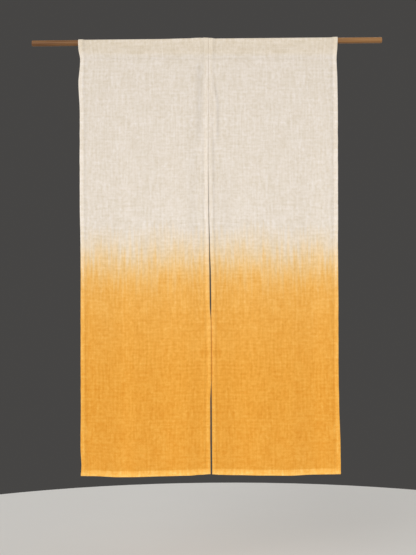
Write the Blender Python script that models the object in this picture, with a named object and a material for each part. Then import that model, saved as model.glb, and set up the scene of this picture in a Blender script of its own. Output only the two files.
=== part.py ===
"""Noren curtain on a rod: two hemp panels, each with a sewn casing at the top, hang
side by side from one round wooden rod.

Metres, +Z up. The origin is the middle of the rod's axis. +X runs along the rod, to the
right as seen from the front, and the front of the cloth faces -Y.
"""

import math
from collections import namedtuple

import bmesh
import bpy

# Rod
ROD_LENGTH = 1.200
ROD_RADIUS = 0.010
ROD_CHAMFER = 0.001
ROD_SIDES = 48

# Cloth
CLOTH_THICKNESS = 0.0015
SIDE_HEM = 0.014
BOTTOM_HEM = 0.018
HEM_THICKNESS = 0.0026          # the cloth with its hem turned up behind it
STEP_RUN = 0.001                # run over which a hem's inner edge drops to the cloth

# Casing: the cloth goes over the rod and is sewn to itself below it
SELVAGE_BELOW = 0.003           # the casing's folded edge behind, below the stitch line
POCKET_RADIUS = ROD_RADIUS + 0.0006
ARC_STEPS = 12
FACE_STEPS = 3                  # rows on the casing's front, and on its back

# Rows down the hanging cloth, and columns across it
HANG_ROWS = 28
COLUMN_PITCH = 0.034
SLIT_COLUMNS = (0.024, 0.036, 0.052)   # extra columns near the slit, from its edge

# The two side edges and the slit between the panels, at each height below the rod's axis.
# The panels are sewn together where the gap is smallest at the top.
Edge = namedtuple("Edge", "below left right slit gap")
EDGES = (
    Edge(-0.012, -0.4405, 0.4475, 0.0055, 0.0004),
    Edge(0.020, -0.4400, 0.4465, 0.0055, 0.0004),
    Edge(0.058, -0.4350, 0.4438, 0.0052, 0.0004),
    Edge(0.140, -0.4416, 0.4460, 0.0045, 0.0004),
    Edge(0.235, -0.4380, 0.4465, 0.0038, 0.0004),
    Edge(0.310, -0.4388, 0.4458, 0.0030, 0.0004),
    Edge(0.400, -0.4400, 0.4452, 0.0010, 0.0006),
    Edge(0.575, -0.4408, 0.4440, 0.0008, 0.0018),
    Edge(0.700, -0.4396, 0.4424, 0.0022, 0.0028),
    Edge(0.800, -0.4400, 0.4421, 0.0036, 0.0052),
    Edge(0.900, -0.4411, 0.4421, 0.0038, 0.0052),
    Edge(0.965, -0.4418, 0.4412, 0.0050, 0.0006),
    Edge(1.145, -0.4432, 0.4402, 0.0044, 0.0006),
    Edge(1.240, -0.4436, 0.4410, 0.0024, 0.0056),
    Edge(1.390, -0.4458, 0.4443, 0.0016, 0.0060),
    Edge(1.446, -0.4432, 0.4447, 0.0015, 0.0058),
    Edge(1.486, -0.4459, 0.4446, 0.0014, 0.0058),
)

# Each crest or hollow of a panel, by how far across it stands, from the side edge (0) to
# the slit (1). The stitch line and the hem are given by their depths below the rod's axis,
# and the lift is how far the cloth stands off the top of the rod. The columns between
# them say how far back the cloth lies at four heights (forward is negative).
Fold = namedtuple("Fold", "across lift stitch seam_end slit_open slit_shut at_hem hem")
FOLDS_LEFT = (
    Fold(0.00, 0.0000, 0.0560, -0.0010, -0.0020, -0.0036, -0.0060, 1.4844),
    Fold(0.08, 0.0000, 0.0565, -0.0005, -0.0012, -0.0022, -0.0035, 1.4850),
    Fold(0.30, 0.0000, 0.0580, 0.0010, 0.0022, 0.0034, 0.0040, 1.4911),
    Fold(0.42, 0.0000, 0.0585, 0.0000, 0.0002, 0.0000, -0.0010, 1.4904),
    Fold(0.62, 0.0000, 0.0600, 0.0004, 0.0008, 0.0014, 0.0030, 1.4892),
    Fold(0.83, 0.0014, 0.0610, -0.0018, -0.0032, -0.0046, -0.0055, 1.4864),
    Fold(0.93, 0.0032, 0.0610, 0.0008, 0.0002, -0.0030, -0.0022, 1.4842),
    Fold(1.00, 0.0016, 0.0610, -0.0040, -0.0014, -0.0078, -0.0045, 1.4825),
)
FOLDS_RIGHT = (
    Fold(0.00, 0.0006, 0.0660, -0.0010, -0.0020, -0.0032, -0.0040, 1.4870),
    Fold(0.08, 0.0000, 0.0655, -0.0004, -0.0006, -0.0008, 0.0005, 1.4876),
    Fold(0.20, 0.0000, 0.0650, 0.0010, 0.0022, 0.0034, 0.0045, 1.4884),
    Fold(0.40, 0.0000, 0.0640, 0.0000, -0.0004, -0.0012, -0.0030, 1.4902),
    Fold(0.60, 0.0000, 0.0630, -0.0008, -0.0020, -0.0036, -0.0050, 1.4886),
    Fold(0.82, 0.0000, 0.0620, 0.0002, 0.0006, 0.0008, 0.0015, 1.4872),
    Fold(0.95, 0.0000, 0.0610, 0.0010, -0.0024, -0.0010, -0.0030, 1.4850),
    Fold(1.00, 0.0010, 0.0610, -0.0040, -0.0056, -0.0024, -0.0050, 1.4833),
)
SEAM_END_BELOW = 0.270
SLIT_OPEN_BELOW = 0.600
SLIT_SHUT_BELOW = 1.050
HEM_BELOW = 1.486

# Colours of the finished pieces, linear
WOOD_COLOUR = (0.376, 0.205, 0.093)
CLOTH_COLOUR = (0.855, 0.381, 0.051)


def ease(share):
    """Zero to one along a curve that leaves and arrives level."""
    share = min(max(share, 0.0), 1.0)
    return share * share * (3.0 - 2.0 * share)


def mix(first, second, share):
    """The value that lies a share of the way from the first to the second."""
    return first + (second - first) * share


def read_along(places, values, at):
    """The value at one place along a line of places, eased from each to the next."""
    for low in range(len(places) - 1):
        if at <= places[low + 1]:
            share = ease((at - places[low]) / (places[low + 1] - places[low]))
            return mix(values[low], values[low + 1], share)
    return values[-1]


def read_table(rows, place, column, at):
    """A column's value at one place along a table."""
    places = [getattr(row, place) for row in rows]
    values = [getattr(row, column) for row in rows]
    return read_along(places, values, at)


def side_edges(side, below):
    """X of a panel's outer edge and of its slit edge at one height."""
    outer = read_table(EDGES, "below", side, below)
    slit = read_table(EDGES, "below", "slit", below)
    half_gap = 0.5 * read_table(EDGES, "below", "gap", below)
    if side == "left":
        return outer, slit - half_gap
    return outer, slit + half_gap


def fold_depth(folds, across, below):
    """How far back the middle of the cloth's thickness lies at one point."""
    casing_edge = read_table(folds, "across", "stitch", across) + SELVAGE_BELOW
    heights = (casing_edge, SEAM_END_BELOW, SLIT_OPEN_BELOW, SLIT_SHUT_BELOW, HEM_BELOW)
    depths = [0.0]
    for column in ("seam_end", "slit_open", "slit_shut", "at_hem"):
        depths.append(read_table(folds, "across", column, across))
    return read_along(heights, depths, below) - 0.5 * CLOTH_THICKNESS


def column_places(width):
    """Distances of the mesh columns from a panel's outer edge, as shares of its width."""
    inner_hem = SIDE_HEM + STEP_RUN
    places = [0.0, SIDE_HEM, inner_hem]
    last_even = width - SLIT_COLUMNS[-1]
    count = round((last_even - inner_hem) / COLUMN_PITCH)
    for step in range(1, count + 1):
        places.append(inner_hem + (last_even - inner_hem) * step / count)
    places += [width - run for run in reversed(SLIT_COLUMNS[:-1])]
    places += [width - inner_hem, width - SIDE_HEM, width]
    return [place / width for place in places]


def pocket_outline(stitch, lift):
    """The casing's inner outline in YZ, as point and outward normal pairs: from the
    stitch line up the front, over the rod and down the back."""
    lean = math.asin(POCKET_RADIUS / stitch)
    arc = []
    for step in range(ARC_STEPS + 1):
        angle = math.pi + lean - (math.pi + 2.0 * lean) * step / ARC_STEPS
        normal = (math.cos(angle), math.sin(angle))
        height = POCKET_RADIUS * normal[1] + lift * max(normal[1], 0.0)
        arc.append(((POCKET_RADIUS * normal[0], height), normal))
    front = []
    back = []
    for step in range(FACE_STEPS):
        share = step / FACE_STEPS
        point, normal = arc[0]
        front.append(((point[0] * share, mix(-stitch, point[1], share)), normal))
        point, normal = arc[-1]
        back.insert(0, ((point[0] * share, mix(-stitch, point[1], share)), normal))
    return front + arc + back


def hang_rows(stitch, hem):
    """Distances below the rod's axis of the rows of hanging cloth, and whether the
    casing's folded edge or the bottom hem backs the cloth there."""
    casing_edge = stitch + SELVAGE_BELOW
    first = casing_edge + STEP_RUN
    last = hem - BOTTOM_HEM - STEP_RUN
    rows = [(casing_edge, "casing"), (first, "cloth")]
    for step in range(1, HANG_ROWS + 1):
        rows.append((mix(first, last, step / HANG_ROWS), "cloth"))
    rows.append((hem - BOTTOM_HEM, "hem"))
    rows.append((hem, "hem"))
    return rows


def build_panel(name, side, folds):
    """One closed sheet: the casing round the rod and the cloth that hangs from it."""
    mesh = bpy.data.meshes.new(name)
    work = bmesh.new()
    outer, slit = side_edges(side, SEAM_END_BELOW)
    shares = column_places(abs(slit - outer))
    columns = []
    for number, across in enumerate(shares):
        in_side_hem = number < 2 or number > len(shares) - 3
        columns.append(panel_column(work, side, folds, across, in_side_hem))
    for near, far in zip(columns, columns[1:]):
        for run in ("pocket", "outside", "front", "back"):
            for low in range(len(near[run]) - 1):
                work.faces.new((near[run][low], near[run][low + 1],
                                far[run][low + 1], far[run][low]))
        work.faces.new((near["front"][-1], near["back"][-1], far["back"][-1], far["front"][-1]))
    for column in (columns[0], columns[-1]):
        cap_column(work, column)
    bmesh.ops.recalc_face_normals(work, faces=work.faces[:])
    work.to_mesh(mesh)
    work.free()
    panel = bpy.data.objects.new(name, mesh)
    bpy.context.collection.objects.link(panel)
    return panel


def panel_column(work, side, folds, across, in_side_hem):
    """The vertices of one section through a panel, as four named runs."""
    def place(y, z):
        outer, slit = side_edges(side, -z)
        return work.verts.new((mix(outer, slit, across), y, z))

    stitch = read_table(folds, "across", "stitch", across)
    hem = read_table(folds, "across", "hem", across)
    outline = pocket_outline(stitch, read_table(folds, "across", "lift", across))
    pocket = [place(*point) for point, normal in outline[:-1]]
    pocket.append(pocket[0])
    outside = []
    for point, normal in outline:
        outside.append(place(point[0] + CLOTH_THICKNESS * normal[0],
                             point[1] + CLOTH_THICKNESS * normal[1]))
    front = [outside[0]]
    back = [outside[-1]]
    for below, backing in hang_rows(stitch, hem):
        middle = fold_depth(folds, across, below)
        behind = middle + 0.5 * CLOTH_THICKNESS
        if backing == "casing":
            behind = outside[-1].co.y
        elif backing == "hem" or in_side_hem:
            behind = middle - 0.5 * CLOTH_THICKNESS + HEM_THICKNESS
        front.append(place(middle - 0.5 * CLOTH_THICKNESS, -below))
        back.append(place(behind, -below))
    return {"pocket": pocket, "outside": outside, "front": front, "back": back}


def cap_column(work, column):
    """Close a panel's cut side: the ring round the pocket and the edge of the cloth."""
    pocket, outside = column["pocket"], column["outside"]
    front, back = column["front"], column["back"]
    for low in range(len(outside) - 1):
        work.faces.new((pocket[low], pocket[low + 1], outside[low + 1], outside[low]))
    work.faces.new((front[0], pocket[0], back[0], back[1], front[1]))
    for low in range(1, len(front) - 1):
        work.faces.new((front[low], back[low], back[low + 1], front[low + 1]))


def build_rod():
    """The rod: a turned bar along X with its ends chamfered."""
    bpy.ops.mesh.primitive_cylinder_add(
        vertices=ROD_SIDES, radius=ROD_RADIUS, depth=ROD_LENGTH,
        rotation=(0.0, math.radians(90.0), 0.0))
    rod = bpy.context.object
    rod.name = "rod"
    rod.data.name = "rod"
    bevel = rod.modifiers.new("end chamfer", "BEVEL")
    bevel.width = ROD_CHAMFER
    bevel.segments = 1
    bevel.limit_method = "ANGLE"
    bevel.angle_limit = math.radians(60.0)
    return rod


def shade_and_colour(piece, colour, roughness, sharp_angle):
    """Smooth shading with sharp edges kept, and a plain material of its own."""
    piece.data.shade_smooth()
    piece.data.set_sharp_from_angle(angle=math.radians(sharp_angle))
    material = bpy.data.materials.new(piece.name + "_finish")
    material.use_nodes = True
    shader = material.node_tree.nodes["Principled BSDF"]
    shader.inputs["Base Color"].default_value = (*colour, 1.0)
    shader.inputs["Roughness"].default_value = roughness
    shader.inputs["Metallic"].default_value = 0.0
    piece.data.materials.append(material)


for old in list(bpy.data.objects):
    bpy.data.objects.remove(old)

rod = build_rod()
shade_and_colour(rod, WOOD_COLOUR, roughness=0.55, sharp_angle=30.0)
for name, side, folds in (("panel_left", "left", FOLDS_LEFT),
                          ("panel_right", "right", FOLDS_RIGHT)):
    panel = build_panel(name, side, folds)
    shade_and_colour(panel, CLOTH_COLOUR, roughness=0.9, sharp_angle=40.0)
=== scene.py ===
# %% [markdown]
# # A split door curtain of dip-dyed hemp on a wooden rod
#
# The curtain is two narrow panels side by side. Each is one length of plain hemp cloth with
# its cut edges turned under twice and stitched down, and its top turned over to the back
# and stitched across, so that a pocket is left for the rod. The two panels are sewn edge to
# edge for about twenty centimetres below the pocket and hang free of each other below that,
# which is the slit that people walk through. The lower half was dipped in a yellow-orange
# dye bath, and the dye has crept up the threads a little past the bath's surface.
#
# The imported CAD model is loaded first. It says where the rod and the panels are, and it is
# never moved or reshaped. Everything below is placed in its frame.

# %% Load the frame
import math
from collections import namedtuple

import bpy
from mathutils import Euler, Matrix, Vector, noise


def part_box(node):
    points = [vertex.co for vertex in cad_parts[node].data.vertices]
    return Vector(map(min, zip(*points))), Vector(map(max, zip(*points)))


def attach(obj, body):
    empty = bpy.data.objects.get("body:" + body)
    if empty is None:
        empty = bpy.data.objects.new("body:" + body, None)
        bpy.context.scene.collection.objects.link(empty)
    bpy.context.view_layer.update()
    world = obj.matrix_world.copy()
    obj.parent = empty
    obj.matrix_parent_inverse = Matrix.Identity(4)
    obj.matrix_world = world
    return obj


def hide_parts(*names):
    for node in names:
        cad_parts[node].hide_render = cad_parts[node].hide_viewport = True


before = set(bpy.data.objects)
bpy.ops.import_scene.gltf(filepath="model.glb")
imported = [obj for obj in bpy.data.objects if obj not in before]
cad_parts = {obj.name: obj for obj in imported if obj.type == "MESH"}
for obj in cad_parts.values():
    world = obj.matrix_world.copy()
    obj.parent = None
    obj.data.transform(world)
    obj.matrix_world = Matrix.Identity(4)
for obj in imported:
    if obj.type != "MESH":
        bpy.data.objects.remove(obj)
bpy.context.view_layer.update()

# %% [markdown]
# ## Sizes that the CAD model gives
#
# A rod along X sits with its middle at the origin, so its radius is half the height of its
# box. All lengths are in metres, and "below" always means below the rod's axis.

# %% Read the rod and the drop
rod_low, rod_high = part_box("rod")
ROD_RADIUS = 0.5 * (rod_high[2] - rod_low[2])
ROD_LENGTH = rod_high[0] - rod_low[0]
DROP = -min(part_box("panel_left")[0][2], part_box("panel_right")[0][2])
print(f"rod {ROD_LENGTH:.3f} long, radius {ROD_RADIUS:.4f}; the cloth drops {DROP:.3f}")

# %% [markdown]
# ## Helpers for reading tables
#
# Folds in hanging cloth are few and soft. It is easier to note where a crest stands and how
# far it comes forward at a few heights than to draw every section, so the shape is kept in
# short tables, and everything between two entries is eased.

# %% Easing between table entries
def ease(share):
    """Zero to one along a curve that leaves and arrives level."""
    share = min(max(share, 0.0), 1.0)
    return share * share * (3.0 - 2.0 * share)


def mix(first, second, share):
    """The value that lies a share of the way from the first to the second."""
    return first + (second - first) * share


def read_along(places, values, at):
    """The value at one place along a line of places, eased from each to the next."""
    for low in range(len(places) - 1):
        if at <= places[low + 1]:
            share = ease((at - places[low]) / (places[low + 1] - places[low]))
            return mix(values[low], values[low + 1], share)
    return values[-1]


def read_table(rows, place, column, at):
    """A column's value at one place along a table."""
    places = [getattr(row, place) for row in rows]
    values = [getattr(row, column) for row in rows]
    return read_along(places, values, at)


def bump(distance, reach):
    """One at the middle, easing to zero at the reach on either side."""
    return ease(1.0 - abs(distance) / reach)


# %% [markdown]
# ## Where the edges hang
#
# Hand-cut hemp is never quite straight. These rows give X of the outer edge of each panel,
# X of the middle of the slit and how far the slit gapes, from the rod down to the hems. An
# edge is the middle of the folded cloth's thickness, so a gap of one thickness is a touch.
# The panels touch in two stretches, and part below each of them.

# %% Table of the edges
Edge = namedtuple("Edge", "below left right slit gap")
EDGES = (
    Edge(-0.012, -0.4405, 0.4475, 0.0055, 0.0006),
    Edge(0.020, -0.4400, 0.4465, 0.0055, 0.0006),
    Edge(0.058, -0.4350, 0.4438, 0.0052, 0.0006),
    Edge(0.140, -0.4416, 0.4460, 0.0045, 0.0006),
    Edge(0.235, -0.4380, 0.4465, 0.0038, 0.0006),
    Edge(0.310, -0.4388, 0.4458, 0.0030, 0.0006),
    Edge(0.400, -0.4400, 0.4452, 0.0010, 0.0006),
    Edge(0.575, -0.4408, 0.4440, 0.0008, 0.0018),
    Edge(0.700, -0.4396, 0.4424, 0.0022, 0.0028),
    Edge(0.800, -0.4400, 0.4421, 0.0036, 0.0052),
    Edge(0.900, -0.4411, 0.4421, 0.0038, 0.0052),
    Edge(0.965, -0.4418, 0.4412, 0.0050, 0.0006),
    Edge(1.145, -0.4432, 0.4402, 0.0044, 0.0006),
    Edge(1.240, -0.4436, 0.4410, 0.0024, 0.0056),
    Edge(1.390, -0.4458, 0.4443, 0.0016, 0.0060),
    Edge(1.446, -0.4432, 0.4447, 0.0015, 0.0058),
    Edge(1.486, -0.4459, 0.4446, 0.0014, 0.0058),
)


def side_edges(side, below):
    """X of a panel's outer edge and of its slit edge at one height."""
    outer = read_table(EDGES, "below", side, below)
    slit = read_table(EDGES, "below", "slit", below)
    half_gap = 0.5 * read_table(EDGES, "below", "gap", below)
    if side == "left":
        return outer, slit - half_gap
    return outer, slit + half_gap


# %% [markdown]
# ## Where the folds stand
#
# Each row is a crest or a hollow, by how far across the panel it stands: 0 is the side edge
# and 1 is the slit. It gives how far the cloth stands off the top of the rod, how far below
# the rod the pocket's stitch line and the bottom edge lie, and how far back the cloth lies
# at four heights (forward is negative). Those heights are listed below the tables.

# %% Tables of the folds
Fold = namedtuple("Fold", "across lift stitch seam_end slit_open slit_shut at_hem hem")
FOLDS = {
    "left": (
        Fold(0.00, 0.0000, 0.0560, -0.0010, -0.0020, -0.0036, -0.0060, 1.4844),
        Fold(0.08, 0.0000, 0.0565, -0.0005, -0.0012, -0.0022, -0.0035, 1.4850),
        Fold(0.30, 0.0000, 0.0580, 0.0010, 0.0022, 0.0034, 0.0040, 1.4911),
        Fold(0.42, 0.0000, 0.0585, 0.0000, 0.0002, 0.0000, -0.0010, 1.4904),
        Fold(0.62, 0.0000, 0.0600, 0.0004, 0.0008, 0.0014, 0.0030, 1.4892),
        Fold(0.83, 0.0014, 0.0610, -0.0018, -0.0032, -0.0046, -0.0055, 1.4864),
        Fold(0.93, 0.0032, 0.0610, 0.0008, 0.0002, -0.0030, -0.0022, 1.4842),
        Fold(1.00, 0.0016, 0.0610, -0.0040, -0.0014, -0.0078, -0.0045, 1.4825),
    ),
    "right": (
        Fold(0.00, 0.0006, 0.0660, -0.0010, -0.0020, -0.0032, -0.0040, 1.4870),
        Fold(0.08, 0.0000, 0.0655, -0.0004, -0.0006, -0.0008, 0.0005, 1.4876),
        Fold(0.20, 0.0000, 0.0650, 0.0010, 0.0022, 0.0034, 0.0045, 1.4884),
        Fold(0.40, 0.0000, 0.0640, 0.0000, -0.0004, -0.0012, -0.0030, 1.4902),
        Fold(0.60, 0.0000, 0.0630, -0.0008, -0.0020, -0.0036, -0.0050, 1.4886),
        Fold(0.82, 0.0000, 0.0620, 0.0002, 0.0006, 0.0008, 0.0015, 1.4872),
        Fold(0.95, 0.0000, 0.0610, 0.0010, -0.0024, -0.0010, -0.0030, 1.4850),
        Fold(1.00, 0.0010, 0.0610, -0.0040, -0.0056, -0.0024, -0.0050, 1.4833),
    ),
}
SEAM_END_BELOW = 0.270
SLIT_OPEN_BELOW = 0.600
SLIT_SHUT_BELOW = 1.050
HEM_BELOW = 1.486
STITCH_BELOW = 0.060

# %% [markdown]
# ## The cloth itself
#
# The cloth is thin, so what gives a hem its look is the stack of layers in it. The layers
# are modelled one by one: the edge is turned under by a finger's width, and the cut edge is
# tucked in below and stops a little short of the fold. `LAYER` is the distance from one
# layer to the next, a little more than the cloth's thickness, so that layers never cut into
# each other. `GRID` is the usual distance between two points of the cloth.

# %% Thickness, hems and pocket
CLOTH = 0.00050
LAYER = 0.00070
SIDE_HEM = 0.014
BOTTOM_HEM = 0.018
POCKET_EDGE = 0.003
POCKET_TUCK = 0.009
ROD_CLEARANCE = 0.0004
CUT_EDGE_SHORT = 0.0015
TURN_SLACK = 0.001
PANEL_FRONT = -0.0015
FRONT_FACE = PANEL_FRONT + 0.5 * CLOTH
GRID = 0.0052
print(f"three layers make a hem {2.0 * LAYER + CLOTH:.4f} thick")

# %% [markdown]
# ## One edge, turned twice
#
# Seen from above, the turned edge is a flat spiral. It starts at the cut edge, runs inwards
# to the hem's inner fold, comes back, and goes round the panel's finished edge to the front.
# Each point of the route keeps how far in from the finished edge it lies and how many layers
# behind the front it is. The same route, reversed, ends the panel at its slit.

# %% Route of a turned edge
HEM_STOPS = (0.005, 0.009, 0.0125, 0.0145, 0.0170, 0.0205)
HEM_EASE = 0.008


def turned_edge():
    """(distance in from the finished edge, layers behind the front) along a side hem."""
    route = []
    inner = SIDE_HEM - 0.5 * LAYER
    for step in range(3):
        route.append((mix(LAYER + CUT_EDGE_SHORT, inner, step / 2.0), 1.0))
    for step in (1, 2):
        angle = math.pi * step / 3.0
        route.append((inner + 0.5 * LAYER * math.sin(angle), 1.5 - 0.5 * math.cos(angle)))
    for step in range(5):
        route.append((mix(inner, LAYER, step / 4.0), 2.0))
    for step in (1, 2, 3):
        angle = math.pi * step / 4.0
        route.append((LAYER - LAYER * math.sin(angle), 1.0 + math.cos(angle)))
    return route


def across_route(width):
    """The whole route across a panel, from the cut edge at its side to that at its slit."""
    edge = turned_edge()
    first, last = LAYER, width - LAYER
    front = [first] + list(HEM_STOPS)
    start, end = HEM_STOPS[-1], width - HEM_STOPS[-1]
    count = round((end - start) / GRID)
    front += [mix(start, end, step / count) for step in range(1, count + 1)]
    front += [width - stop for stop in reversed(HEM_STOPS[:-1])] + [last]
    route = edge + [(place, 0.0) for place in front]
    route += [(width - place, layers) for place, layers in reversed(edge)]
    return route


def hem_layers(place, width):
    """How many turned layers lie behind the front here: two in a side hem, none beside it."""
    inward = min(place, width - place)
    return 2.0 * (1.0 - ease((inward - SIDE_HEM) / HEM_EASE))


# %% [markdown]
# ## One section, from the pocket to the hem
#
# Seen from the side, the cloth starts at the cut edge tucked inside the pocket, turns up the
# back, goes over the rod, comes down the front through the stitch line, hangs, and is
# turned up twice at the bottom. At the corners the side hems are folded over as well, so
# the bends there are wider. `stack` is the number of side-hem layers at this place.
#
# Small unevenness is added on the way: broad soft waves everywhere, a hollow in the middle
# of the pocket with a ridge just above its stitches, and puckers along each stitched line.

# %% The ridge and furrows beside the seam
LEFT_FURROW, LEFT_FURROW_REACH = 0.030, 0.020
LEFT_FURROW_STRENGTH = 0.75
BRINK_HIGH, BRINK_LOW = 0.0150, 0.0265
RIDGE_RISE, RIDGE_DROP = 0.013, 0.008
FURROW_PAST_BRINK, FURROW_REACH = 0.004, 0.009


def between(below, start, start_fade, end, end_fade):
    """One between two heights, fading in after the start and out after the end."""
    return ease((below - start) / start_fade) * (1.0 - ease((below - end) / end_fade))


def beside_seam(column, below):
    """Ridge (0 to 1) and furrow (0 to 1) that the sewn seam pulls into the cloth.

    The left panel has one broad shallow furrow. The right panel stands up in a flat ridge
    whose brink moves away from the seam on its way down, with a narrow furrow beyond it.
    """
    to_slit = column["width"] - column["place"]
    if column["side"] == "left":
        down = between(below, 0.065, 0.03, 0.29, 0.08)
        furrow = LEFT_FURROW_STRENGTH * bump(to_slit - LEFT_FURROW, LEFT_FURROW_REACH)
        return 0.0, furrow * down
    down = between(below, 0.12, 0.05, 0.31, 0.04)
    brink = mix(BRINK_HIGH, BRINK_LOW, ease((below - 0.13) / 0.09))
    ridge = ease(to_slit / RIDGE_RISE) * (1.0 - ease((to_slit - brink) / RIDGE_DROP))
    return ridge * down, bump(to_slit - brink - FURROW_PAST_BRINK, FURROW_REACH) * down


# %% Unevenness of the hanging cloth
BROAD_WAVE = 0.00045
FINE_WAVE = 0.00016
SIDE_PUCKER = 0.00040
CROSS_PUCKER = 0.00045
SIDE_GROOVE = 0.00045
POCKET_GROOVE = 0.00010
HEM_GROOVE = 0.00035
SEAM_RELIEF = 0.0008


def wave(across, below, size, seed):
    """A smooth uneven value between about -1 and 1, the same for every layer of a hem."""
    return noise.noise(Vector((across / size, below / size, seed)))


def unevenness(column, below):
    """How far back the cloth stands out of its main folds at one point."""
    x = column["x"]
    inward = min(column["place"], column["width"] - column["place"])
    past_stitches = below - column["stitch"]
    into_hem = BOTTOM_HEM - (column["hem"] - below)
    soft = BROAD_WAVE * wave(x, 0.35 * below, 0.060, 3.1)
    soft += FINE_WAVE * wave(x, below, 0.022, 7.7)
    pucker = SIDE_PUCKER * wave(x * 0.4, below, 0.012, 11.3) * bump(inward - SIDE_HEM, 0.012)
    pucker += CROSS_PUCKER * wave(x, below * 0.4, 0.011, 17.9) * bump(past_stitches, 0.022)
    pucker += CROSS_PUCKER * wave(x, below * 0.4, 0.013, 23.5) * bump(into_hem, 0.022)
    groove = SIDE_GROOVE * bump(inward - SIDE_HEM - 0.003, 0.005)
    groove += (POCKET_GROOVE * bump(past_stitches - 0.002, 0.005)
               + HEM_GROOVE * bump(into_hem, 0.005))
    ridge, furrow = beside_seam(column, below)
    return soft + pucker + groove + SEAM_RELIEF * furrow - SEAM_RELIEF * ridge


# %% Depth of the front of the cloth
def main_fold(column, below):
    """How far back the cloth lies because of its main folds."""
    edge = column["stitch"] + POCKET_EDGE
    heights = (edge, SEAM_END_BELOW, SLIT_OPEN_BELOW, SLIT_SHUT_BELOW, HEM_BELOW)
    return FRONT_FACE + read_along(heights, column["depths"], below)


def front_depth(column, below):
    """Y of the middle of the cloth's thickness on the front of the hanging part."""
    return main_fold(column, below) + unevenness(column, below)


# %% Section of a panel at one place across
Spot = namedtuple("Spot", "y z back_y back_z")
POCKET_STEPS = 14
ROUND_ROD_STEPS = 22
POCKET_RIDGE = 0.0010
POCKET_HOLLOW = 0.0017
POCKET_WAVE_FRONT = 0.0007
POCKET_WAVE_BACK = 0.0006


def bend(centre_y, centre_z, radius, start, end, steps):
    """Points on an arc whose back of the cloth faces the centre; angles from +Y towards +Z."""
    spots = []
    for step in range(1, steps):
        angle = mix(start, end, step / steps)
        y, z = math.cos(angle), math.sin(angle)
        spots.append(Spot(centre_y + radius * y, centre_z + radius * z, -y, -z))
    return spots


def pocket_section(column):
    """From the cut edge inside the pocket, up the back and over the rod to the stitches."""
    stack, stitch = column["stack"], column["stitch"]
    front = FRONT_FACE + unevenness(column, stitch)
    back = front + (3.0 * stack + 2.0) * LAYER
    tuck = front + (stack + 1.0) * LAYER
    turn = 0.5 * (back - tuck)
    edge = -stitch - POCKET_EDGE + turn
    spots = [Spot(tuck, mix(-stitch + POCKET_TUCK, edge, step / 3.0), 1.0, 0.0)
             for step in range(4)]
    spots += bend(tuck + turn, edge, turn, -math.pi, 0.0, 4)
    spots.append(Spot(back, edge, -1.0, 0.0))
    spots.append(Spot(back, -stitch, -1.0, 0.0))
    radius = ROD_RADIUS + ROD_CLEARANCE + 0.5 * CLOTH + stack * LAYER
    lean_back = math.asin((radius - back) / math.hypot(stitch, back))
    lean_front = math.asin((radius + front) / math.hypot(stitch, front))
    start, end = -lean_back, math.pi + lean_front
    for step in range(1, POCKET_STEPS):
        share = step / POCKET_STEPS
        y = mix(back, radius * math.cos(start), share)
        z = mix(-stitch, radius * math.sin(start), share)
        hollow = POCKET_WAVE_BACK * math.sin(math.pi * share)
        hollow *= wave(column["x"], 0.3, 0.07, 5.0)
        spots.append(Spot(y + hollow, z, -math.cos(start), -math.sin(start)))
    for step in range(ROUND_ROD_STEPS + 1):
        angle = mix(start, end, step / ROUND_ROD_STEPS)
        y, z = math.cos(angle), math.sin(angle)
        height = radius * z + column["lift"] * max(z, 0.0)
        spots.append(Spot(radius * y, height, -y, -z))
    for step in range(1, POCKET_STEPS):
        share = step / POCKET_STEPS
        y = mix(radius * math.cos(end), front, share)
        z = mix(radius * math.sin(end), -stitch, share)
        ridge = -POCKET_RIDGE * bump(share - 0.88, 0.17)
        hollow = POCKET_HOLLOW * bump(share - 0.58, 0.42)
        hollow += POCKET_WAVE_FRONT * wave(column["x"], z, 0.03, 29.0)
        spots.append(Spot(y + ridge + hollow * ease(4.0 * (1.0 - share)) * ease(4.0 * share),
                          z, -math.cos(end), -math.sin(end)))
    return spots


def hanging_section(column):
    """From the stitches down the front to where the bottom edge starts to turn."""
    turn = 0.5 * (3.0 * column["stack"] + 2.0) * LAYER
    first, last = column["stitch"], column["hem"] - turn
    stops = [first, first + 0.0015, first + POCKET_EDGE]
    hem_start = column["hem"] - BOTTOM_HEM
    # The count comes from the usual lengths, so that every section has the same number.
    count = round((HEM_BELOW - BOTTOM_HEM - STITCH_BELOW) / GRID)
    stops += [mix(stops[2], hem_start - 0.003, step / count) for step in range(1, count + 1)]
    stops += [hem_start, hem_start + 0.003, hem_start + 0.007, hem_start + 0.011, last]
    return [Spot(front_depth(column, below), -below, 1.0, 0.0) for below in stops]


def bottom_section(column):
    """The bottom edge turned up twice, ending at the cut edge inside the hem."""
    stack, hem = column["stack"], column["hem"]
    turn = 0.5 * (3.0 * stack + 2.0) * LAYER
    front = front_depth(column, hem - turn)
    spots = bend(front + turn, -hem + turn, turn, -math.pi, 0.0, 6)
    behind = (3.0 * stack + 2.0) * LAYER
    tucked = (stack + 1.0) * LAYER
    small = 0.5 * (behind - tucked)
    top = hem - BOTTOM_HEM + small + TURN_SLACK
    for step in range(5):
        below = mix(hem - turn, top, step / 4.0)
        spots.append(Spot(front_depth(column, below) + behind, -below, -1.0, 0.0))
    middle = front_depth(column, top) + 0.5 * (behind + tucked)
    spots += bend(middle, -top, small, 0.0, math.pi, 4)
    for step in range(4):
        below = mix(top, hem - turn - CUT_EDGE_SHORT, step / 3.0)
        spots.append(Spot(front_depth(column, below) + tucked, -below, 1.0, 0.0))
    return spots
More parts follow.
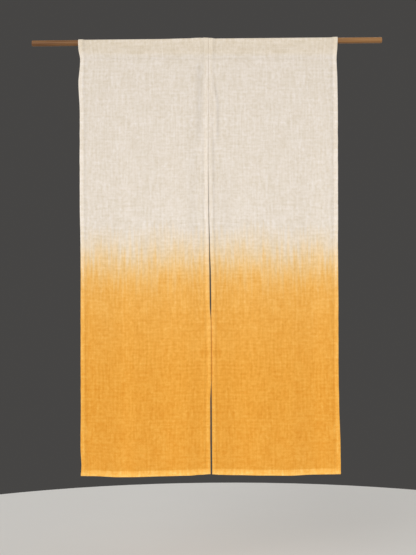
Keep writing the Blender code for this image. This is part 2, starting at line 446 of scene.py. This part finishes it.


# %% [markdown]
# ## Weave the sections into a sheet
#
# Every section has the same number of points, so neighbouring sections join into a grid.
# The grid is one continuous cloth. Its UV map is laid out in metres along the threads, so
# that weave, slubs and dye follow the cloth round every fold. Three values are kept on the
# points: how many layers lie behind, since a hem lets less light through and looks paler,
# which also carries a painted highlight on the ridge beside the seam; how much painted
# shade falls in a stitched groove, a furrow or at a free slit edge; and whether the point is
# on the pocket, which takes a painted shade.

# %% Build one panel
EDGE_WANDER = 0.0005
WANDER_REACH = 0.040
SEAM_FADE = 0.12
# Painted shade at the free slit edges and in the furrows beside the seam.
FREE_EDGE_PAINTED_SHADE = 2.2
FURROW_PAINTED_SHADE = {"left": 1.7, "right": 2.3}
# Painted highlight: the ridge beside the seam is made as pale as this many layers.
RIDGE_PAINTED_HIGHLIGHT = 0.8
# The very bottom edge is made paler than its turned layers alone would make it.
BOTTOM_EDGE_LAYERS, BOTTOM_HEM_LAYERS = 2.8, 1.9
# Painted shade along the stitched lines of the pocket and the bottom hem.
POCKET_LINE_PAINTED_SHADE, HEM_LINE_PAINTED_SHADE = 0.08, 0.3


def panel_columns(side):
    """The facts of each section across a panel."""
    outer, slit = side_edges(side, SEAM_END_BELOW)
    width = abs(slit - outer)
    folds = FOLDS[side]
    columns = []
    for place, layers in across_route(width):
        across = min(max(place / width, 0.0), 1.0)
        column = {"place": place, "layers": layers, "width": width, "across": across,
                  "side": side, "x": mix(outer, slit, across),
                  "stack": hem_layers(place, width)}
        for name in ("stitch", "hem", "lift"):
            column[name] = read_table(folds, "across", name, across)
        column["depths"] = [0.0] + [read_table(folds, "across", name, across)
                                    for name in ("seam_end", "slit_open", "slit_shut", "at_hem")]
        columns.append(column)
    return columns


def edge_wander(below):
    """How far a side edge strays from its table as it hangs."""
    return EDGE_WANDER * wave(below, 0.0, 0.030, 41.0)


def place_spot(column, spot):
    """The point of the panel for one spot of a section."""
    outer, slit = side_edges(column["side"], -spot.z)
    inward = min(column["place"], WANDER_REACH)
    outer += edge_wander(-spot.z) * (1.0 - ease(inward / WANDER_REACH))
    behind = column["layers"] * LAYER
    return (mix(outer, slit, column["place"] / column["width"]),
            spot.y + behind * spot.back_y, spot.z + behind * spot.back_z)


def shade_values(column, below):
    """Layers behind the front, nearness of a groove, and whether on the pocket.

    Beside the sewn seam the hems are pressed flat, so their layers and painted groove shade
    show less. The groove value is painted shade in the stitched grooves, in the furrows beside
    the seam and at the free slit edges below it; the ridge there gets a painted highlight,
    counted as layers; the pocket value marks the painted shade on the pocket.
    """
    to_slit = column["width"] - column["place"]
    inward = min(column["place"], to_slit)
    in_side_hem = 1.0 - ease((inward - SIDE_HEM + 0.003) / 0.004)
    # Painted shade in the stitched groove inside a side hem.
    groove = bump(inward - SIDE_HEM - 0.004, 0.006)
    if to_slit < column["place"]:
        sewn = 1.0 - ease((below - SEAM_END_BELOW) / SEAM_FADE)
        in_side_hem *= 1.0 - 0.5 * sewn
        groove *= 1.0 - 0.4 * sewn
        free_edge_shade = FREE_EDGE_PAINTED_SHADE * (1.0 - 0.9 * sewn) * (1.0 - ease(to_slit / 0.0022))
        groove = max(groove, free_edge_shade)
        ridge, furrow = beside_seam(column, below)
        groove = max(groove * (1.0 - ridge), FURROW_PAINTED_SHADE[column["side"]] * furrow)
        # Painted highlight on the ridge, carried in the layers value.
        in_side_hem = max(in_side_hem, RIDGE_PAINTED_HIGHLIGHT * ridge)
    up = column["hem"] - below
    in_bottom_hem = mix(BOTTOM_EDGE_LAYERS, BOTTOM_HEM_LAYERS, ease(up / BOTTOM_HEM))
    in_bottom_hem *= 1.0 - ease((up - BOTTOM_HEM) / 0.004)
    groove = max(groove, POCKET_LINE_PAINTED_SHADE * bump(below - column["stitch"] - 0.003, 0.006),
                 HEM_LINE_PAINTED_SHADE * bump(up - BOTTOM_HEM - 0.003, 0.005))
    # Painted shade: where the pocket's colour is deepened.
    pocket = 1.0 - ease((below - column["stitch"] + 0.026) / 0.014)
    return max(in_side_hem, in_bottom_hem), groove, pocket


def run_length(points):
    """Distance along a run of points from its start to each of them."""
    lengths = [0.0]
    for before, after in zip(points, points[1:]):
        lengths.append(lengths[-1] + math.dist(before, after))
    return lengths


def build_sheet(name, side):
    """One panel as a closed sheet of cloth, and the size it was cut to."""
    columns = panel_columns(side)
    sections = []
    for column in columns:
        spots = pocket_section(column) + hanging_section(column) + bottom_section(column)
        sections.append([place_spot(column, spot) for spot in spots])
    rows = len(sections[0])
    middle = len(sections) // 2
    along = run_length(sections[middle])
    stitch_row = len(pocket_section(columns[middle]))
    start = along[stitch_row] - columns[middle]["stitch"]
    across = run_length([section[rows // 2] for section in sections])
    points = [point for section in sections for point in section]
    faces = []
    for left in range(len(sections) - 1):
        for up in range(rows - 1):
            here = left * rows + up
            faces.append((here, here + 1, here + rows + 1, here + rows))
    if side == "right":
        faces = [tuple(reversed(face)) for face in faces]
    mesh = bpy.data.meshes.new(name)
    mesh.from_pydata(points, [], faces)
    threads = mesh.uv_layers.new(name="threads")
    flat = [(across[left], along[up] - start)
            for left in range(len(sections)) for up in range(rows)]
    for loop, corner in zip(mesh.loops, threads.data):
        corner.uv = flat[loop.vertex_index]
    layers_and_painted_light = mesh.attributes.new("layers", "FLOAT", "POINT")
    groove_shade_values = mesh.attributes.new("groove", "FLOAT", "POINT")
    pocketed = mesh.attributes.new("pocket", "FLOAT", "POINT")
    for left, column in enumerate(columns):
        for up in range(rows):
            here = left * rows + up
            value, groove, pocket = shade_values(column, -points[here][2])
            layers_and_painted_light.data[here].value = value
            groove_shade_values.data[here].value = groove
            pocketed.data[here].value = pocket
    sheet = bpy.data.objects.new(name, mesh)
    bpy.context.collection.objects.link(sheet)
    return sheet, (across[-1], along[-1])


def thicken(sheet):
    """Give the sheet its thickness and smooth shading."""
    bpy.ops.object.select_all(action="DESELECT")
    sheet.select_set(True)
    bpy.context.view_layer.objects.active = sheet
    solidify = sheet.modifiers.new("cloth thickness", "SOLIDIFY")
    solidify.thickness = CLOTH
    solidify.offset = 0.0
    solidify.use_even_offset = True
    bpy.ops.object.modifier_apply(modifier=solidify.name)
    bpy.ops.object.shade_smooth_by_angle(angle=math.radians(50.0))


panels = {}
for side in ("left", "right"):
    sheet, cut_size = build_sheet(f"{side}_cloth", side)
    thicken(sheet)
    panels[side] = (sheet, cut_size)
    cut = f"{cut_size[0]:.3f} x {cut_size[1]:.3f}"
    print(f"{side} panel: {len(sheet.data.polygons)} faces, cut {cut}")

# %% [markdown]
# ## Stitches
#
# The hems and the pocket are run up by machine with thread of the cloth's own colour. One
# stitch is a short bar lying on the cloth, tapered at its ends. It is made once from a small
# sphere, stretched along X, and laid again along each stitched line, front and back.

# %% One stitch
STITCH = 0.0026
STITCH_PITCH = 0.0044
THREAD = 0.00045
SEAM_PITCH = 0.0006
HEM_LAYERS = 2.0
# Painted light on the seam stitches, given as layers.
SEAM_THREAD_PAINTED_LIGHT = 1.6
STITCH_INSIDE = 0.0020
SIDE_LINE_START = 0.006


def make_stitch():
    """The points and faces of one stitch along X, centred on the origin."""
    bpy.ops.object.select_all(action="DESELECT")
    bpy.ops.mesh.primitive_uv_sphere_add(segments=6, ring_count=4, radius=0.5 * THREAD)
    ball = bpy.context.object
    bpy.ops.object.mode_set(mode="EDIT")
    bpy.ops.mesh.select_all(action="SELECT")
    bpy.ops.transform.resize(value=(STITCH / THREAD, 1.0, 1.0))
    bpy.ops.object.mode_set(mode="OBJECT")
    points = [point.co.copy() for point in ball.data.vertices]
    faces = [tuple(face.vertices) for face in ball.data.polygons]
    bpy.data.objects.remove(ball)
    return points, faces


# %% Lay stitches along the hems
def stitch_lines(side):
    """Centre, direction, outward normal and flat place of each stitch of a panel."""
    outer, slit = side_edges(side, SEAM_END_BELOW)
    width = abs(slit - outer)
    columns = panel_columns(side)
    body = [column for column in columns if column["layers"] == 0.0]
    laid = []

    def lay(column, below, layers, facing, upright):
        y = front_depth(column, below) + layers * LAYER + facing * (0.5 * CLOTH + 0.2 * THREAD)
        if below < column["stitch"] + 0.001:
            y = FRONT_FACE + unevenness(column, below) + layers * LAYER
            y += facing * (0.5 * CLOTH + 0.2 * THREAD)
        x, _, z = place_spot(column, Spot(y, -below, 0.0, 0.0))
        laid.append(((x, y, z), upright, (column["place"], below)))

    for target in (SIDE_HEM - STITCH_INSIDE, width - SIDE_HEM + STITCH_INSIDE):
        column = min(body, key=lambda c: abs(c["place"] - target))
        run = column["hem"] - column["stitch"] - 2.0 * SIDE_LINE_START
        count = int(run / STITCH_PITCH)
        for step in range(count):
            below = column["stitch"] + SIDE_LINE_START + (step + 0.5) * STITCH_PITCH
            lay(column, below, 0.0, -1.0, True)
            if below < column["hem"] - BOTTOM_HEM - 0.004:
                lay(column, below, HEM_LAYERS, 1.0, True)
    steps = int((width - 0.004) / STITCH_PITCH)
    for step in range(steps):
        place = 0.002 + (step + 0.5) * STITCH_PITCH
        nearest = min(body, key=lambda c: abs(c["place"] - place))
        column = dict(nearest, place=place)
        behind = 3.0 * hem_layers(place, width) + HEM_LAYERS
        lay(column, column["stitch"], 0.0, -1.0, False)
        lay(column, column["stitch"], behind, 1.0, False)
        lay(column, column["hem"] - BOTTOM_HEM + 0.0025, 0.0, -1.0, False)
        lay(column, column["hem"] - BOTTOM_HEM + 0.0035, behind, 1.0, False)
    return laid


def build_stitches(name, laid, shape, layers=0.0):
    """All the stitches of a piece as one mesh with the cloth's UV map."""
    points, faces, flat = [], [], []
    base_points, base_faces = shape
    for centre, upright, place in laid:
        start = len(points)
        for point in base_points:
            run, side, out = point.x, point.y, point.z
            offset = (side, out, run) if upright else (run, out, side)
            points.append(tuple(a + b for a, b in zip(centre, offset)))
            flat.append(place)
        faces += [tuple(start + corner for corner in face) for face in base_faces]
    mesh = bpy.data.meshes.new(name)
    mesh.from_pydata(points, [], faces)
    threads = mesh.uv_layers.new(name="threads")
    for loop, corner in zip(mesh.loops, threads.data):
        corner.uv = flat[loop.vertex_index]
    for point in mesh.attributes.new("layers", "FLOAT", "POINT").data:
        point.value = layers
    piece = bpy.data.objects.new(name, mesh)
    bpy.context.collection.objects.link(piece)
    bpy.ops.object.select_all(action="DESELECT")
    piece.select_set(True)
    bpy.context.view_layer.objects.active = piece
    bpy.ops.object.mode_set(mode="EDIT")
    bpy.ops.mesh.select_all(action="SELECT")
    bpy.ops.mesh.normals_make_consistent(inside=False)
    bpy.ops.object.mode_set(mode="OBJECT")
    bpy.ops.object.shade_smooth()
    return piece


one_stitch = make_stitch()
stitches = {}
for side in ("left", "right"):
    laid = stitch_lines(side)
    stitches[side] = build_stitches(f"{side}_hem_stitches", laid, one_stitch)
    print(f"{side} panel: {len(laid)} stitches")

# %% [markdown]
# ## The seam above the slit
#
# Between the pocket and the top of the slit, the two finished edges are drawn together with
# small close-set stitches that cross from one panel to the other. They are marked as layers,
# so that they look as pale as a hem: painted light against the shade that the packed
# stitches cast on each other.

# %% Sew the two panels together
def seam_stitches():
    """The stitches that cross the slit from below the pocket to the seam's end."""
    left = [column for column in panel_columns("left") if column["layers"] == 0.0][-1]
    laid = []
    start = left["stitch"] + POCKET_EDGE
    count = int((SEAM_END_BELOW - start) / SEAM_PITCH)
    for step in range(count):
        below = start + (step + 0.5) * SEAM_PITCH
        x = read_table(EDGES, "below", "slit", below)
        y = front_depth(left, below) - 0.5 * CLOTH - 0.2 * THREAD
        laid.append(((x, y, -below), False, (left["place"], below)))
    return laid


# Painted light: the seam stitches count as layers.
seam = build_stitches("seam_stitches", seam_stitches(), one_stitch,
                      layers=SEAM_THREAD_PAINTED_LIGHT)
print("seam:", len(seam.data.polygons), "faces")

# %% [markdown]
# ## Dye
#
# Dye takes light away in proportion to how much of it there is, so a half-dyed thread is
# not the average of the two colours: each colour channel is the undyed colour times the
# dye's own colour raised to the strength. The strength rises from nothing to full over
# about half a metre, and thin streaks lead it where single threads drank more.
#
# Four small corrections follow. Stacked layers in a hem take up less dye, the pocket's colour
# is deepened a little as a painted shade, the undyed cloth is made a little paler further
# down, and half-dyed cloth looks a little warmer than the rule alone would make it. The rows
# of `DYE_STRENGTH` are distance below the rod and strength.

# %% Node helpers
def new_group(name, inputs, outputs):
    """An empty shader node group with its sockets, and its input and output nodes."""
    group = bpy.data.node_groups.new(name, "ShaderNodeTree")
    for label, kind, value in inputs:
        socket = group.interface.new_socket(label, in_out="INPUT", socket_type=kind)
        if value is not None:
            socket.default_value = value
    for label, kind in outputs:
        group.interface.new_socket(label, in_out="OUTPUT", socket_type=kind)
    return group, group.nodes.new("NodeGroupInput"), group.nodes.new("NodeGroupOutput")


def math_node(tree, operation, first, second=0.0, third=None, clamp=False):
    """A Math node; each operand is a number or a socket."""
    node = tree.nodes.new("ShaderNodeMath")
    node.operation = operation
    node.use_clamp = clamp
    operands = (first, second) if third is None else (first, second, third)
    for socket, operand in zip(node.inputs, operands):
        if isinstance(operand, (int, float)):
            socket.default_value = operand
        else:
            tree.links.new(operand, socket)
    return node.outputs[0]


def stretched_noise(tree, vector, scale, detail=2.0, rough=0.5, shift=0.0):
    """Noise whose features are 1/scale long each way along a vector in metres."""
    mapping = tree.nodes.new("ShaderNodeMapping")
    mapping.inputs["Scale"].default_value = scale
    mapping.inputs["Location"].default_value = (shift, 0.7 * shift, shift)
    tree.links.new(vector, mapping.inputs["Vector"])
    grain = tree.nodes.new("ShaderNodeTexNoise")
    grain.inputs["Scale"].default_value = 1.0
    grain.inputs["Detail"].default_value = detail
    grain.inputs["Roughness"].default_value = rough
    tree.links.new(mapping.outputs[0], grain.inputs["Vector"])
    return math_node(tree, "SUBTRACT", grain.outputs[0], 0.5)


# %% Dip-dye group
UNDYED = (0.806, 0.722, 0.620)
FULLY_DYED = (0.878, 0.391, 0.0490)
DYE_MISSED_IN_HEMS = 0.11
# Painted shade on the pocket, given as added dye strength.
POCKET_PAINTED_SHADE = 0.030
# The undyed cloth is made a little paler further down.
PALER_FURTHER_DOWN = 0.060
HALF_DYED_GLOW = (0.062, 0.008, 0.050)
DYE_STRENGTH = (
    (0.630, 0.00),
    (0.695, 0.09),
    (0.736, 0.21),
    (0.777, 0.39),
    (0.819, 0.60),
    (0.860, 0.745),
    (0.942, 0.85),
    (1.107, 0.96),
    (1.200, 1.00),
)


def dip_dye_group():
    """Colour of the cloth by its distance along the threads from the rod."""
    group, given, result = new_group(
        "dip dye",
        [("Threads", "NodeSocketVector", None), ("Tone and thread shade", "NodeSocketFloat", 0.0),
         ("Layers", "NodeSocketFloat", 0.0), ("Pocket shade", "NodeSocketFloat", 0.0),
         ("Wicking", "NodeSocketFloat", 0.05)],
        [("Color", "NodeSocketColor"), ("Strength", "NodeSocketFloat")])
    vector = given.outputs["Threads"]
    split = group.nodes.new("ShaderNodeSeparateXYZ")
    group.links.new(vector, split.inputs[0])
    fine = stretched_noise(group, vector, (105.0, 8.0, 1.0), detail=3.0, rough=0.55, shift=4.0)
    broad = stretched_noise(group, vector, (8.0, 4.0, 1.0), detail=1.0, shift=9.0)
    stray = math_node(group, "MULTIPLY_ADD", broad, 0.35, math_node(group, "MULTIPLY", fine, 0.75))
    lead = math_node(group, "MULTIPLY", stray, given.outputs["Wicking"])
    reach = math_node(group, "MULTIPLY_ADD", lead, 4.0, split.outputs["Y"])
    first, last = DYE_STRENGTH[0][0], DYE_STRENGTH[-1][0]
    share = math_node(group, "DIVIDE", math_node(group, "SUBTRACT", reach, first),
                      last - first, clamp=True)
    ramp = group.nodes.new("ShaderNodeValToRGB")
    group.links.new(share, ramp.inputs[0])
    stops = ramp.color_ramp.elements
    stops[1].position = 1.0
    for below, strength in DYE_STRENGTH[1:-1]:
        stop = stops.new((below - first) / (last - first))
        stop.color = (strength, strength, strength, 1.0)
    strength = ramp.outputs[0]
    uneven = math_node(group, "MULTIPLY_ADD", strength, -0.30, -0.07)
    taken = math_node(group, "MULTIPLY_ADD", given.outputs["Tone and thread shade"], uneven, strength)
    missed = math_node(group, "MULTIPLY", given.outputs["Layers"], strength)
    taken = math_node(group, "MULTIPLY_ADD", missed, -DYE_MISSED_IN_HEMS, taken)
    # Painted shade on the pocket.
    taken = math_node(group, "MULTIPLY_ADD", given.outputs["Pocket shade"], POCKET_PAINTED_SHADE, taken)
    undyed_share = math_node(group, "SUBTRACT", 1.0, strength)
    half_dyed = math_node(group, "MULTIPLY", strength, undyed_share)
    # The undyed cloth is made a little paler further down.
    way_down = math_node(group, "MULTIPLY", split.outputs["Y"], 1.0 / first, clamp=True)
    paler_share = math_node(group, "MULTIPLY", way_down, undyed_share)
    paler = math_node(group, "MULTIPLY_ADD", paler_share, PALER_FURTHER_DOWN, 1.0)
    combine = group.nodes.new("ShaderNodeCombineColor")
    for socket, undyed, dyed, glow in zip(combine.inputs, UNDYED, FULLY_DYED, HALF_DYED_GLOW):
        kept = math_node(group, "POWER", dyed / undyed, taken)
        kept = math_node(group, "MULTIPLY", kept, paler)
        warmed = math_node(group, "MULTIPLY_ADD", half_dyed, 4.0 * glow, 1.0)
        kept = math_node(group, "MULTIPLY", kept, warmed)
        group.links.new(math_node(group, "MULTIPLY", kept, undyed), socket)
    group.links.new(combine.outputs[0], result.inputs["Color"])
    group.links.new(strength, result.inputs["Strength"])
    return group


# %% [markdown]
# ## Weave
#
# Hemp thread is uneven: it swells into slubs, short streaks that run with the warp or the
# weft. A plain weave passes each thread over one and under the next, and no thread runs
# quite straight. Slubs change the tone a little, and slubs and threads stand up as bumps.
# The threads also carry a painted highlight on their crowns and a painted shade in the gaps
# between them.

# %% Weave group
THREAD_PITCH = 0.0012
THREAD_WANDER = 3.0
# Painted highlight and shade of the thread relief.
THREAD_GAP_PAINTED_SHADE = 0.8
MEAN_OF_SINE = 2.0 / math.pi


def weave_group():
    """Tone (about 0, plus or minus, with painted shade between the threads) and height (0 to 1) of
    uneven plain-woven thread.
    """
    group, given, result = new_group(
        "uneven plain weave",
        [("Threads", "NodeSocketVector", None)],
        [("Tone and thread shade", "NodeSocketFloat"), ("Height", "NodeSocketFloat")])
    vector = given.outputs["Threads"]
    split = group.nodes.new("ShaderNodeSeparateXYZ")
    group.links.new(vector, split.inputs[0])
    warp = stretched_noise(group, vector, (150.0, 14.0, 1.0), shift=1.0)
    weft = stretched_noise(group, vector, (15.0, 150.0, 1.0), shift=2.0)
    cloud = stretched_noise(group, vector, (95.0, 95.0, 1.0), detail=1.0, shift=3.0)
    patch = stretched_noise(group, vector, (28.0, 22.0, 1.0), detail=1.0, shift=8.0)
    tone = math_node(group, "MULTIPLY_ADD", weft, 0.7, warp)
    tone = math_node(group, "MULTIPLY_ADD", cloud, 0.9, tone)
    tone = math_node(group, "MULTIPLY_ADD", patch, 0.35, tone)
    turn = math.pi / THREAD_PITCH
    warp_turn = math_node(group, "MULTIPLY_ADD", warp, THREAD_WANDER,
                          math_node(group, "MULTIPLY", split.outputs["X"], turn))
    weft_turn = math_node(group, "MULTIPLY_ADD", weft, THREAD_WANDER,
                          math_node(group, "MULTIPLY", split.outputs["Y"], turn))
    over = math_node(group, "SINE", warp_turn)
    under = math_node(group, "SINE", weft_turn)
    crossing = math_node(group, "GREATER_THAN", math_node(group, "MULTIPLY", over, under), 0.0)
    warp_top = math_node(group, "MULTIPLY", math_node(group, "ABSOLUTE", over), crossing)
    spare = math_node(group, "SUBTRACT", 1.0, crossing)
    weft_top = math_node(group, "MULTIPLY", math_node(group, "ABSOLUTE", under), spare)
    thread = math_node(group, "ADD", warp_top, weft_top)
    height = math_node(group, "MULTIPLY_ADD", thread, 0.35, tone)
    # Painted highlight on the thread crowns and painted shade in the gaps between them.
    thread_highlight_and_gap_shade = math_node(group, "SUBTRACT", thread, MEAN_OF_SINE)
    tone = math_node(group, "MULTIPLY_ADD", thread_highlight_and_gap_shade, THREAD_GAP_PAINTED_SHADE, tone)
    group.links.new(tone, result.inputs["Tone and thread shade"])
    group.links.new(height, result.inputs["Height"])
    return group


# %% Hemp cloth material
# Paler where layers stack; the layers value also carries painted light on the ridge beside the
# seam and on the seam stitches.
LAYERS_PALER_AND_PAINTED_LIGHT = 0.095
# Painted shade: how much darker the groove value makes the cloth.
GROOVE_PAINTED_SHADE = 0.07


def place_group(tree, group):
    """A node that stands for the group inside another tree."""
    node = tree.nodes.new("ShaderNodeGroup")
    node.node_tree = group
    return node


def hemp_material(name, dye, weave, tone_and_shade_share, wicking):
    """Dip-dyed hemp: paler where layers stack, with painted shade in the stitched grooves."""
    material = bpy.data.materials.new(name)
    material.use_nodes = True
    tree = material.node_tree
    shader = tree.nodes["Principled BSDF"]
    shader.inputs["Roughness"].default_value = 0.90
    shader.inputs["Specular IOR Level"].default_value = 0.15
    shader.inputs["Sheen Weight"].default_value = 0.10
    shader.inputs["Sheen Roughness"].default_value = 0.5
    threads = tree.nodes.new("ShaderNodeUVMap")
    threads.uv_map = "threads"
    dyed = place_group(tree, dye)
    dyed.inputs["Wicking"].default_value = wicking
    woven = place_group(tree, weave)
    tree.links.new(threads.outputs[0], dyed.inputs["Threads"])
    tree.links.new(threads.outputs[0], woven.inputs["Threads"])
    tree.links.new(woven.outputs["Tone and thread shade"], dyed.inputs["Tone and thread shade"])
    pocket = tree.nodes.new("ShaderNodeAttribute")
    pocket.attribute_name = "pocket"
    tree.links.new(pocket.outputs["Fac"], dyed.inputs["Pocket shade"])
    layers = tree.nodes.new("ShaderNodeAttribute")
    layers.attribute_name = "layers"
    groove = tree.nodes.new("ShaderNodeAttribute")
    groove.attribute_name = "groove"
    tree.links.new(layers.outputs["Fac"], dyed.inputs["Layers"])
    tone = math_node(tree, "MULTIPLY", woven.outputs["Tone and thread shade"], tone_and_shade_share)
    paler = math_node(tree, "MULTIPLY_ADD", layers.outputs["Fac"], LAYERS_PALER_AND_PAINTED_LIGHT, 1.0)
    # Painted shade from the groove value.
    painted_groove_shade = math_node(tree, "MULTIPLY_ADD", groove.outputs["Fac"], -GROOVE_PAINTED_SHADE, 1.0)
    factor = math_node(tree, "MULTIPLY", math_node(tree, "MULTIPLY", paler, painted_groove_shade),
                       math_node(tree, "ADD", tone, 1.0))
    scale = tree.nodes.new("ShaderNodeVectorMath")
    scale.operation = "SCALE"
    tree.links.new(dyed.outputs["Color"], scale.inputs[0])
    tree.links.new(factor, scale.inputs["Scale"])
    tree.links.new(scale.outputs[0], shader.inputs["Base Color"])
    raised = tree.nodes.new("ShaderNodeBump")
    raised.inputs["Strength"].default_value = 0.5
    raised.inputs["Distance"].default_value = 0.0003
    tree.links.new(woven.outputs["Height"], raised.inputs["Height"])
    tree.links.new(raised.outputs[0], shader.inputs["Normal"])
    return material


dip_dye = dip_dye_group()
plain_weave = weave_group()
hemp_cloth = hemp_material("hemp_cloth", dip_dye, plain_weave, tone_and_shade_share=0.24, wicking=0.045)
hemp_thread = hemp_material("hemp_thread", dip_dye, plain_weave, tone_and_shade_share=0.12, wicking=0.045)
for side in ("left", "right"):
    panels[side][0].data.materials.append(hemp_cloth)
    stitches[side].data.materials.append(hemp_thread)
seam.data.materials.append(hemp_thread)
print("cloth materials:", hemp_cloth.name, hemp_thread.name)

# %% [markdown]
# ## Wood of the rod
#
# The rod is plain turned softwood, browned by handling and a little paler towards its right
# end. Its grain runs along X, so the noise is stretched that way. The CAD rod already has
# the right shape, so it only gets a better material.

# %% Wood grain group and material
PALER_ALONG_ROD = 0.30


def wood_grain_group():
    """Grain (0 to 1) of a turned rod whose length lies along X."""
    group, given, result = new_group(
        "rod grain", [("Place", "NodeSocketVector", None)], [("Grain", "NodeSocketFloat")])
    streak = stretched_noise(group, given.outputs["Place"], (6.0, 320.0, 320.0), 3.0, 0.6, 5.0)
    broad = stretched_noise(group, given.outputs["Place"], (2.5, 60.0, 60.0), 2.0, 0.5, 6.0)
    grain = math_node(group, "MULTIPLY_ADD", broad, 0.9, streak)
    split = group.nodes.new("ShaderNodeSeparateXYZ")
    group.links.new(given.outputs["Place"], split.inputs[0])
    grain = math_node(group, "MULTIPLY_ADD", split.outputs["X"], PALER_ALONG_ROD, grain)
    group.links.new(math_node(group, "ADD", grain, 0.5, clamp=True), result.inputs["Grain"])
    return group


def rod_material(grain):
    """Bare brown wood with darker streaks and a dull handled surface."""
    material = bpy.data.materials.new("rod_wood")
    material.use_nodes = True
    tree = material.node_tree
    shader = tree.nodes["Principled BSDF"]
    coordinates = tree.nodes.new("ShaderNodeTexCoord")
    grained = place_group(tree, grain)
    tree.links.new(coordinates.outputs["Object"], grained.inputs["Place"])
    ramp = tree.nodes.new("ShaderNodeValToRGB")
    tree.links.new(grained.outputs["Grain"], ramp.inputs[0])
    ramp.color_ramp.elements[0].position = 0.25
    ramp.color_ramp.elements[0].color = (0.128, 0.047, 0.009, 1.0)
    ramp.color_ramp.elements[1].position = 0.75
    ramp.color_ramp.elements[1].color = (0.325, 0.152, 0.044, 1.0)
    tree.links.new(ramp.outputs[0], shader.inputs["Base Color"])
    rough = math_node(tree, "MULTIPLY_ADD", grained.outputs["Grain"], -0.18, 0.68)
    tree.links.new(rough, shader.inputs["Roughness"])
    raised = tree.nodes.new("ShaderNodeBump")
    raised.inputs["Strength"].default_value = 0.4
    raised.inputs["Distance"].default_value = 0.0002
    tree.links.new(grained.outputs["Grain"], raised.inputs["Height"])
    tree.links.new(raised.outputs[0], shader.inputs["Normal"])
    return material


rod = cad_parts["rod"]
rod.material_slots[0].material = rod_material(wood_grain_group())
print("rod finish:", rod.material_slots[0].material.name)

# %% [markdown]
# ## Floor, lights and camera
#
# The curtain hangs over a plain pale floor. One broad soft light comes from in front, a
# little above and to the left, a weaker one from behind, and the surroundings fill the
# shadows evenly. What the camera sees of the surroundings is a quiet dark grey, so that the
# slit and the pale edges stand out from it. The camera stands squarely in front, about level
# with the middle of the curtain, and is turned by half a degree so that the rod's right end
# sits slightly higher.

# %% Floor
FLOOR_BELOW = 1.900
FLOOR_RADIUS = 2.200


def pale_material(name, colour):
    """Matt studio paper with the faintest mottling."""
    material = bpy.data.materials.new(name)
    material.use_nodes = True
    tree = material.node_tree
    shader = tree.nodes["Principled BSDF"]
    shader.inputs["Roughness"].default_value = 0.95
    shader.inputs["Specular IOR Level"].default_value = 0.1
    coordinates = tree.nodes.new("ShaderNodeTexCoord")
    mottle = stretched_noise(tree, coordinates.outputs["Object"], (3.0, 3.0, 3.0))
    blend = tree.nodes.new("ShaderNodeVectorMath")
    blend.operation = "SCALE"
    blend.inputs[0].default_value = colour
    tree.links.new(math_node(tree, "MULTIPLY_ADD", mottle, 0.02, 1.0), blend.inputs["Scale"])
    tree.links.new(blend.outputs[0], shader.inputs["Base Color"])
    return material


bpy.ops.object.select_all(action="DESELECT")
bpy.ops.mesh.primitive_circle_add(vertices=96, radius=FLOOR_RADIUS, fill_type="NGON",
                                  location=(0.0, 0.0, -FLOOR_BELOW))
floor = bpy.context.object
floor.name = "floor"
floor.data.materials.append(pale_material("studio_paper", (0.82, 0.81, 0.78)))

# %% Lights
def add_sun(name, heading, height, strength, spread):
    """A distant soft light; heading 0 shines from straight in front, 90 from the right."""
    light = bpy.data.lights.new(name, "SUN")
    light.energy = strength
    light.angle = math.radians(spread)
    lamp = bpy.data.objects.new(name, light)
    lamp.rotation_euler = Euler((math.radians(90.0 - height), 0.0, math.radians(heading)))
    bpy.context.collection.objects.link(lamp)
    return lamp


add_sun("key", heading=-24.0, height=14.0, strength=1.61, spread=40.0)
add_sun("from_behind", heading=160.0, height=15.0, strength=0.8, spread=60.0)
world = bpy.data.worlds.new("studio")
world.use_nodes = True
tree = world.node_tree
lit = tree.nodes["Background"]
lit.inputs["Color"].default_value = (1.0, 0.99, 0.98, 1.0)
lit.inputs["Strength"].default_value = 0.48
seen = tree.nodes.new("ShaderNodeBackground")
seen.inputs["Color"].default_value = (0.062, 0.060, 0.058, 1.0)
chooser = tree.nodes.new("ShaderNodeMixShader")
rays = tree.nodes.new("ShaderNodeLightPath")
tree.links.new(rays.outputs["Is Camera Ray"], chooser.inputs[0])
tree.links.new(lit.outputs[0], chooser.inputs[1])
tree.links.new(seen.outputs[0], chooser.inputs[2])
tree.links.new(chooser.outputs[0], tree.nodes["World Output"].inputs["Surface"])
bpy.context.scene.world = world
bpy.context.scene.view_settings.view_transform = "Standard"

# %% Camera
CAMERA_DISTANCE = 4.0
VIEW_HEIGHT = 1.904
SENSOR = 36.0
CAMERA_X, CAMERA_Z = -0.0040, -0.8085
CAMERA_ROLL = 0.55
lens = bpy.data.cameras.new("camera")
lens.sensor_width = SENSOR
lens.lens = SENSOR * CAMERA_DISTANCE / VIEW_HEIGHT
camera = bpy.data.objects.new("camera", lens)
camera.location = (CAMERA_X, -CAMERA_DISTANCE, CAMERA_Z)
camera.rotation_euler = Euler((math.radians(90.0), math.radians(CAMERA_ROLL), 0.0))
bpy.context.collection.objects.link(camera)
bpy.context.scene.camera = camera
print(f"lens {lens.lens:.1f} mm at {CAMERA_DISTANCE} m")

# %% [markdown]
# ## Hand over
#
# Each new piece is tied to the one body of the model, and the CAD panel that each cloth stands in
# for is hidden.

# %% Ride and replace
for side in ("left", "right"):
    sheet, cut_size = panels[side]
    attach(sheet, "root")
    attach(stitches[side], "root")
    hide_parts(f"panel_{side}")
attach(seam, "root")
